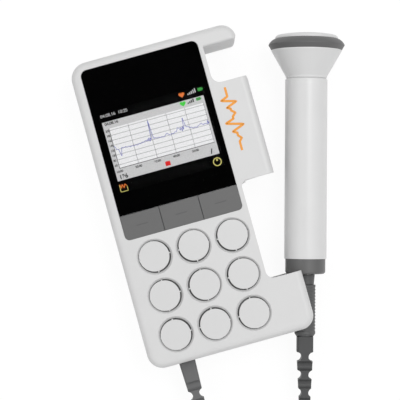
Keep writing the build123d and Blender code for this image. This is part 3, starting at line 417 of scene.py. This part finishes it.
guide_material, shader, place = new_material("clear_light_guide")
shader.inputs["Transmission Weight"].default_value = 0.9
shader.inputs["IOR"].default_value = acrylic_ior
(place.noise(1.2 * mm) * 0.2 + 0.15).feed(shader, "Roughness")
place.noise(6 * mm).mixed((0.86, 0.9, 0.93), (0.93, 0.95, 0.97)).feed(shader, "Base Color")
dress(guide_material, "screen_light_guide")


streak_stretch = 0.06
streak_width = 0.12 * mm
streak_sheen = 0.22
streak_sheen_middle = 0.1


def sheet_metal(name, colour, roughness, along="x"):
    """Rolled and plated sheet: fine streaks along one axis."""
    material, shader, place = new_material(name)
    shader.inputs["Metallic"].default_value = 1.0
    stretch = [streak_stretch if axis == along else 1 for axis in "xyz"]
    streaks = place.stretched(*stretch).noise(streak_width, 4.0)
    cloud = place.noise(9 * mm)
    cloud.mixed(shade(colour, 0.86), colour).feed(shader, "Base Color")
    (streaks * streak_sheen + (roughness - streak_sheen_middle)).feed(shader, "Roughness")
    bump = streaks.node("ShaderNodeBump", {}, {"Height": streaks, "Distance": 0.002 * mm})
    bump.feed(shader, "Normal")
    return material


dress(sheet_metal("plated_frame_sheet", (0.62, 0.62, 0.6), 0.32), "screen_frame")


def lit_picture(name, colour):
    """Lit pixels: a fine grid of slightly darker lines runs between them."""
    material, shader, place = new_material(name)
    shader.inputs["Base Color"].default_value = (0.004, 0.004, 0.004, 1)
    shader.inputs["Roughness"].default_value = 0.3
    shader.inputs["Emission Strength"].default_value = 1.0
    cells = []
    for axis in place.axes()[:2]:
        cell = (axis * (1 / pixel_pitch)).maths("FRACT") - 0.5
        cells.append(cell.maths("ABSOLUTE") < pixel_share)
    (cells[0] * cells[1]).mixed(shade(colour, dark_line), colour).feed(shader, "Emission Color")
    return material


def picture_box(x0, y0, x1, y1, layer, material):
    """A flat bar of the picture, in millimetres, on one of its layers."""
    return box_piece("picture_bar", (x0 * mm, y0 * mm, picture_floor),
                     (x1 * mm, y1 * mm, picture_floor + layer * sheet_step), material)


def flatten(piece, middle, low, layer):
    """Squeeze a piece to a flat sheet, its points above the middle on top and the rest below."""
    for vertex in piece.data.vertices:
        vertex.co.z = low + (layer * sheet_step if vertex.co.z > middle else 0)


def stroke(points, width, layer, material, low=picture_floor):
    """A drawn line of one width through points in millimetres."""
    bpy.ops.object.select_all(action="DESELECT")
    line = nurbs_curve("drawn_line", [Vector((x * mm, y * mm, low)) for x, y in points],
                       width * mm)
    line.data.splines[0].order_u = 2
    line.data.bevel_resolution = 1
    line.data.use_fill_caps = True
    bpy.context.view_layer.objects.active = line
    line.select_set(True)
    bpy.ops.object.convert(target="MESH")
    line = bpy.context.object
    flatten(line, low, low, layer)
    line.data.materials.append(material)
    return line


digit_share = 0.72


def figures(text, x, y, height, layer, material, lean=0.0, weight=0.05):
    """Numbers in a plain face, their lower left corner in millimetres."""
    bpy.ops.object.select_all(action="DESELECT")
    bpy.ops.object.text_add(location=(0, 0, 0))
    words = bpy.context.object
    words.data.body = text
    words.data.size = height * mm / digit_share
    words.data.shear = lean
    words.data.extrude = sheet_step
    words.data.offset = weight * height * mm
    bpy.ops.object.convert(target="MESH")
    words = bpy.context.object
    for vertex in words.data.vertices:
        vertex.co.x += x * mm
        vertex.co.y += y * mm
    flatten(words, 0, picture_floor, layer)
    words.data.materials.clear()
    words.data.materials.append(material)
    return words


heart_width = 2.7
heart_span = 32


def heart(x, y, layer, material):
    """A small filled heart about a centre in millimetres, from a curve that is 32 units wide."""
    bpy.ops.object.select_all(action="DESELECT")
    bpy.ops.mesh.primitive_cylinder_add(vertices=40, radius=1, depth=2)
    sign = bpy.context.object
    for vertex in sign.data.vertices:
        turn = math.atan2(vertex.co.x, vertex.co.y)
        across = 16 * math.sin(turn) ** 3
        up = (13 * math.cos(turn) - 5 * math.cos(2 * turn) - 2 * math.cos(3 * turn)
              - math.cos(4 * turn))
        vertex.co.x = (x + across * heart_width / heart_span) * mm
        vertex.co.y = (y + up * heart_width / heart_span) * mm
    flatten(sign, 0, picture_floor, layer)
    sign.data.materials.append(material)
    return sign


bar_rise = 0.38
bar_lift = 0.06
bar_base = 0.25


def signal_bars(x, y, layer, material, pitch, width, count):
    """Upright bars of rising height, their lower left corner in millimetres."""
    return [picture_box(x + step * pitch, y + step * bar_lift, x + step * pitch + width,
                        y + bar_base + (step + 1) * bar_rise, layer, material)
            for step in range(count)]


battery_length = 2.0
knob_length = 0.4
knob_height = 0.55


def battery_sign(x, y, height, layer, material):
    """A cell with its knob at the right, its lower left corner in millimetres."""
    knob_low = y + (height - knob_height) / 2
    knob_left = x + battery_length
    return [picture_box(x, y, knob_left, y + height, layer, material),
            picture_box(knob_left, knob_low, knob_left + knob_length, knob_low + knob_height, layer,
                        material)]


def join(name, pieces):
    """Join pieces into one that rides on the unit."""
    bpy.ops.object.select_all(action="DESELECT")
    for piece in pieces:
        piece.select_set(True)
    bpy.context.view_layer.objects.active = pieces[0]
    bpy.ops.object.join()
    whole = bpy.context.object
    whole.name = name
    whole.data.name = name
    bpy.ops.object.transform_apply(location=True, rotation=True, scale=True)
    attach(whole, "unit")


def place_picture(name, *pieces):
    """One colour of the picture."""
    join(name, list(pieces))


paper_grey = lit_picture("lit_paper", (0.66, 0.66, 0.66))
plot_white = lit_picture("lit_plot", (0.96, 0.96, 0.965))
line_grey = lit_picture("lit_grid_lines", (0.12, 0.12, 0.13))
ink_dark = lit_picture("lit_dark_signs", (0.02, 0.02, 0.02))
sign_white = lit_picture("lit_white_signs", (0.7, 0.7, 0.7))
trace_blue = lit_picture("lit_trace", (0.14, 0.15, 0.52))
sign_green = lit_picture("lit_green_signs", (0.02, 0.34, 0.03))
heart_green = lit_picture("lit_green_heart", (0.06, 0.72, 0.06))
sign_orange = lit_picture("lit_orange_signs", (0.85, 0.19, 0.02))
sign_red = lit_picture("lit_red_sign", (0.78, 0.01, 0.01))
sign_yellow = lit_picture("lit_yellow_signs", (0.72, 0.66, 0.18))

chart_left, chart_right, chart_low, chart_high = -29.92, 16.92, 14.95, 41.86
plot_left, plot_right, plot_low, plot_high = -27.55, 16.1, 20.4, 38.65
column_pitch = 8.7
row_pitch = 2.257
lowest_row = 21.95
line_width = 0.15
tick_length = 0.3
paper_layer = 1
plot_layer = 1.5
sign_layer = 2
axis_layer = 2.2
trace_layer = 2.6

place_picture("picture_paper", picture_box(chart_left, chart_low, chart_right, chart_high,
                                           paper_layer, paper_grey))
place_picture("picture_plot", picture_box(plot_left, plot_low, plot_right, plot_high, plot_layer,
                                          plot_white))
columns = [plot_left + step * column_pitch for step in range(6)]
rows = [lowest_row + step * row_pitch for step in range(8)]
grid = [picture_box(plot_left, y - line_width / 2, plot_right, y + line_width / 2, sign_layer,
                    line_grey) for y in rows]
grid += [picture_box(x - line_width / 2, plot_low - tick_length, x + line_width / 2, plot_high,
                     sign_layer, line_grey) for x in columns]
place_picture("picture_grid", *grid)


def swell(x, middle, spread):
    """A smooth bump of height one."""
    return math.exp(-((x - middle) / spread) ** 2)


# Bumps and bursts of jitter on the trace: height, how often the jitter turns, middle and spread.
trace_level = 28.6
trace_bumps = [(1.6, plot_left, 0.6), (-3.4, -25.2, 0.5), (8.3, -10.1, 0.32), (1.2, -3.4, 0.6),
               (1.3, 2.0, 0.8), (1.0, 5.6, 1.8), (3.9, 5.1, 0.35), (0.9, 12.2, 0.9)]
trace_bursts = [(0.9, 9, -11.0, 1.3), (1.1, 8, 4.0, 1.0), (1.0, 9, 15.8, 0.7)]


def pulse_rate(x):
    """Height of the trace: an almost level line with a jitter, a high peak and a low one."""
    height = trace_level + 0.02 * (x - plot_left)
    height += 0.35 * math.sin(x / 2.3) + 0.2 * math.sin(4.1 * x)
    height += sum(rise * swell(x, middle, spread) for rise, middle, spread in trace_bumps)
    height += sum(rise * math.sin(turns * x) * swell(x, middle, spread)
                  for rise, turns, middle, spread in trace_bursts)
    return height


trace_steps = 400
trace_width = 0.24
trace_points = []
for step in range(trace_steps + 1):
    x = plot_left + (plot_right - plot_left) * step / trace_steps
    trace_points.append((x, pulse_rate(x)))
place_picture("picture_trace", stroke(trace_points, trace_width, trace_layer, trace_blue))

# Numbers at the scales, and signs on the chart, above it and below it, placed in millimetres.
date = "04.08.16"
scale_shift = 1.9
axis_outside = 0.15
axis_inside = 0.1
dark_signs = [figures(str(beats), plot_left - scale_shift, y - 0.45, 0.95, sign_layer, ink_dark)
              for beats, y in zip(range(60, 201, 20), rows)]
dark_signs += [figures(f"{minute}:00", x - scale_shift, plot_low - 1.85, 1.0, sign_layer, ink_dark)
               for minute, x in zip(range(10, 51, 10), columns)]
dark_signs += [figures(date, chart_left + 1.0, 40.3, 1.3, sign_layer, ink_dark),
               figures("136", chart_left + 1.1, 15.6, 1.9, sign_layer, ink_dark),
               figures("1", 12.7, 15.8, 2.2, sign_layer, ink_dark, lean=0.3),
               picture_box(plot_left - axis_outside, plot_low - axis_inside,
                           plot_left + axis_inside, plot_high, axis_layer, ink_dark),
               picture_box(plot_left, plot_low - axis_outside, plot_right, plot_low + axis_inside,
                           axis_layer, ink_dark)]
dark_signs += signal_bars(9.2, 39.9, sign_layer, ink_dark, pitch=0.8, width=0.6, count=4)
place_picture("picture_dark_signs", *dark_signs)

white_signs = [figures(f"{date}  10:25", -29.9, 44.0, 1.45, paper_layer, sign_white, weight=0)]
white_signs += signal_bars(10.2, 43.75, paper_layer, sign_white, pitch=0.85, width=0.42, count=5)
place_picture("picture_white_signs", *white_signs)
place_picture("picture_green_signs", *battery_sign(15.1, 44.15, 1.45, paper_layer, sign_green),
              *battery_sign(13.3, 40.25, 1.35, sign_layer, sign_green),
              heart(7.1, 40.6, sign_layer, heart_green))
zigzag = [(-29.6, 13.4), (-29.1, 11.6), (-28.5, 13.2), (-27.9, 11.5), (-27.3, 13.1),
          (-26.6, 12.2)]
tray = [(-29.75, 13.2), (-29.75, 10.0), (-26.5, 10.0), (-26.5, 12.0)]
place_picture("picture_orange_signs", heart(7.6, 44.6, paper_layer, sign_orange),
              stroke(zigzag, 0.36, 1.6, sign_orange))
place_picture("picture_red_sign", picture_box(-7.5, 15.75, -5.2, 17.8, sign_layer, sign_red))
clock_x, clock_y = 15.0, 11.65
clock_radius = 1.75
clock_turns = [math.radians(turn) for turn in range(0, 375, 15)]
ring_points = [(clock_x + clock_radius * math.cos(turn), clock_y + clock_radius * math.sin(turn))
               for turn in clock_turns]
place_picture("picture_yellow_signs", stroke(ring_points, 0.4, paper_layer, sign_yellow),
              stroke([(15.05, 12.0), (15.05, 12.9)], 0.7, 1.2, sign_yellow),
              stroke(tray, 0.28, paper_layer, sign_yellow))

# ---- Printed pulse line ---------------------------------------------------------------------
# Pad-printed orange ink on the mid block: one broad line of even width that runs along the block
# and beats twice.
ink_thickness = 0.02 * mm
ink_width = 1.4
front_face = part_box("front_cover")[1][2]
pulse_middle = 26.9
orange_ink, shader, place = new_material("orange_pad_print")
finish_surface(shader, place, (0.86, 0.33, 0.035), roughness=0.4, grain=0.2 * mm,
               depth=0.002 * mm, mottle=0.05)

pulse_shape = [(0, 13.5), (0, 17.5), (1.3, 18.9), (0, 20.3), (0, 21.6), (-1.8, 22.5), (3.9, 24.6),
               (-3.9, 26.7), (0, 28.0), (0, 29.0), (1.6, 30.4), (0, 31.8), (0, 32.6),
               (-1.5, 33.4), (3.4, 35.2), (-3.2, 37.0), (0, 38.2), (0, 42.5)]
pulse_line = stroke([(pulse_middle + across, along) for across, along in pulse_shape], ink_width,
                    ink_thickness / sheet_step, orange_ink, low=front_face - ink_thickness / 2)
join("block_pulse_print", [pulse_line])

# ---- Probe ----------------------------------------------------------------------------------
# White head shell, handle and crowned face of the housing's plastic, a soft grey ring round the
# head, and a grey end cap that is pushed into the handle.
probe_white = (0.71, 0.71, 0.71)
ring_grey = (0.122, 0.122, 0.122)
cap_grey = (0.122, 0.122, 0.122)
dress(moulded("white_probe_plastic", probe_white, 0.34, grain=0.3 * mm, depth=0.002 * mm),
      "probe_head", "probe_handle", "probe_face")
dress(moulded("soft_ring_rubber", ring_grey, 0.5, grain=0.35 * mm, depth=0.006 * mm),
      "probe_collar")
dress(moulded("grey_cap_plastic", cap_grey, 0.42), "probe_cap", "probe_socket")

# ---- Plug and strain reliefs ----------------------------------------------------------------
# Soft grey overmoulding with a ribbed grip. The plug's relief is a darker rubber and the unit's a
# lighter one, both smoother than the grip. The barrel and its pins are nickel-plated brass.
plug_grey = (0.1, 0.101, 0.102)
relief_grey = (0.062, 0.063, 0.064)
unit_relief_grey = (0.13, 0.131, 0.133)
dress(moulded("grip_rubber", plug_grey, 0.55, grain=0.35 * mm, depth=0.01 * mm), "plug_grip",
      "plug_nose")
dress(moulded("relief_rubber", relief_grey, 0.5, grain=0.5 * mm, depth=0.008 * mm),
      "plug_strain_relief")
dress(moulded("unit_relief_rubber", unit_relief_grey, 0.5, grain=0.5 * mm, depth=0.008 * mm),
      "unit_strain_relief")
dress(sheet_metal("nickel_barrel", (0.72, 0.7, 0.66), 0.25, along="y"), "plug_barrel")

# ---- Metal parts inside ---------------------------------------------------------------------
# Plated steel: shield can, contacts, springs, screws, loudspeaker magnet, and the screen tube
# round the probe's board.
dress(sheet_metal("tinned_steel", (0.66, 0.66, 0.67), 0.35), "board_shield", "probe_screen_tube")
dress(sheet_metal("nickel_contacts", (0.7, 0.69, 0.66), 0.24, along="z"), "contact_plates",
      "contact_springs")
dress(sheet_metal("zinc_screws", (0.58, 0.59, 0.62), 0.3, along="z"), "case_screws",
      "speaker_magnet")

# ---- Circuit boards -------------------------------------------------------------------------
# Green solder resist over copper tracks that show through it as a net of lighter lines, and black
# epoxy packages.
resist_green = (0.012, 0.11, 0.045)
track_shade = 2.2
board_material, shader, place = new_material("circuit_board_resist")
tracks = place.node("ShaderNodeTexBrick", {}, {"Vector": place, "Scale": 1.0,
                                              "Mortar Size": 0.12 * mm, "Brick Width": 2.6 * mm,
                                              "Row Height": 0.9 * mm}, out=1)
finish_surface(shader, place, tracks.mixed(resist_green, shade(resist_green, track_shade)),
               roughness=0.3, grain=0.3 * mm, depth=0.003 * mm)
dress(board_material, "main_board", "probe_board")
dress(moulded("black_epoxy", (0.018, 0.018, 0.019), 0.45), "board_chips", "lead_header",
      "crystal_carrier")

# ---- Rubber and foam inside -----------------------------------------------------------------
# Keypad mat, O-ring, loudspeaker gasket and the foam behind the crystals.
dress(moulded("grey_silicone", (0.3, 0.3, 0.31), 0.6, grain=0.6 * mm), "keypad_mat", "cap_seal",
      "speaker_gasket")
dress(moulded("open_foam", (0.045, 0.045, 0.048), 0.9, grain=0.9 * mm, depth=0.2 * mm),
      "crystal_backing")

# ---- Loudspeaker and headphone socket -------------------------------------------------------
# Black stamped basket, a paper cone with concentric pressing marks, and a black moulded socket.
dress(moulded("black_basket", (0.02, 0.02, 0.021), 0.5), "speaker_basket", "headphone_jack")
ripple_pitch = 1.6 * mm
cone_material, shader, place = new_material("paper_cone")
centre = (Vector(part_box("speaker_cone")[0]) + Vector(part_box("speaker_cone")[1])) / 2
fibre = place.noise(0.8 * mm, 5.0)
fibre.mixed((0.018, 0.018, 0.018), (0.05, 0.048, 0.045)).feed(shader, "Base Color")
offset = place.node("ShaderNodeVectorMath", {"operation": "SUBTRACT"}, {0: place, 1: centre})
distance_out = offset.node("ShaderNodeVectorMath", {"operation": "LENGTH"}, {0: offset}, out=1)
ripple = (distance_out * (2 * math.pi / ripple_pitch)).maths("SINE")
cone_bump = ripple.node("ShaderNodeBump", {}, {"Height": ripple + fibre, "Distance": 0.05 * mm})
cone_bump.feed(shader, "Normal")
shader.inputs["Roughness"].default_value = 0.85
dress(cone_material, "speaker_cone")

# ---- Cells and crystals ---------------------------------------------------------------------
# Two AA cells in a shrunk film jacket, black with one copper-coloured end, and two half discs of
# fired ceramic with silvered faces.
band_length = 15 * mm
cell_material, shader, place = new_material("cell_film")
band = place.axes()[1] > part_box("battery_1")[1][1] - band_length
band.mixed((0.012, 0.012, 0.014), (0.42, 0.2, 0.07)).feed(shader, "Base Color")
(band * 0.6 + 0.2).feed(shader, "Metallic")
(place.noise(5 * mm) * 0.1 + 0.22).feed(shader, "Roughness")
dress(cell_material, "battery_1", "battery_2")

crystal_material, shader, place = new_material("silvered_ceramic")
pores = place.noise(0.3 * mm, 4.0)
pores.mixed((0.5, 0.46, 0.4), (0.66, 0.63, 0.58)).feed(shader, "Base Color")
(pores * 0.3 + 0.3).feed(shader, "Roughness")
shader.inputs["Metallic"].default_value = 0.5
dress(crystal_material, "crystals")

# ---- Table, backdrop and light --------------------------------------------------------------
# A white sheet that lights the object from below and takes its shadow, a white room with a dark
# card straight overhead for the glass to reflect, and one large soft lamp from the upper right.
floor_size = 6.0
floor_drop = 0.2 * mm
floor_white = 0.86
floor_glow = 1.04
floor_glow_share = 0.88
horizon_light = 0.34
horizon_height = 0.15
crown_light = 1.12
crown_height = 0.85
card_share = 0.01
card_edge = 0.93
card_core = 0.975

bpy.ops.object.select_all(action="DESELECT")
bpy.ops.mesh.primitive_plane_add(size=floor_size, location=(0, 0, -floor_drop))
floor = bpy.context.object
floor.name = "table_top"
floor_material, floor_shader, place = new_material("white_table")
floor_shader.inputs["Roughness"].default_value = 0.9
floor_shader.inputs["Base Color"].default_value = (floor_white, floor_white, floor_white, 1)
rays = place.node("ShaderNodeLightPath", {}, {}).socket.node.outputs
camera_ray, glossy_ray, clear_ray = (Socket(place.tree, rays[name]) for name in (
    "Is Camera Ray", "Is Glossy Ray", "Is Transmission Ray"))
seen = (camera_ray + glossy_ray + clear_ray).maths("MINIMUM", 1.0)
glow = place.node("ShaderNodeEmission", {}, {"Strength": floor_glow})
mixed = place.node("ShaderNodeMixShader", {}, {0: seen * floor_glow_share, 2: glow})
place.tree.links.new(floor_shader.outputs[0], mixed.socket.node.inputs[1])
place.tree.links.new(mixed.socket, place.tree.nodes["Material Output"].inputs["Surface"])
floor.data.materials.append(floor_material)

world = bpy.data.worlds.new("studio")
world.use_nodes = True
bpy.context.scene.world = world
tree = world.node_tree
direction = Socket(tree, tree.nodes.new("ShaderNodeTexCoord").outputs["Generated"])
height = direction.axes()[2]
room = height.node("ShaderNodeMapRange", {"interpolation_type": "SMOOTHSTEP"},
                   {"Value": height, "From Min": horizon_height, "From Max": crown_height,
                    "To Min": horizon_light, "To Max": crown_light})
card = height.node("ShaderNodeMapRange", {"interpolation_type": "SMOOTHSTEP"},
                   {"Value": height, "From Min": card_edge, "From Max": card_core,
                    "To Min": 1.0, "To Max": card_share})
camera_ray = Socket(tree, tree.nodes.new("ShaderNodeLightPath").outputs["Is Camera Ray"])
strength = camera_ray + (1 - camera_ray) * room * card
tree.links.new(strength.socket, tree.nodes["Background"].inputs["Strength"])
tree.nodes["Background"].inputs["Color"].default_value = (1, 1, 1, 1)

lamp_place = Vector((0.34, 0.1, 1.0))
lamp_size = 0.35
lamp_power = 2.5
bpy.ops.object.light_add(type="AREA", location=lamp_place)
lamp = bpy.context.object
lamp.data.energy = lamp_power
lamp.data.size = lamp_size
lamp.rotation_euler = (-lamp_place).to_track_quat("-Z", "Y").to_euler()

bpy.context.scene.view_settings.view_transform = "Standard"
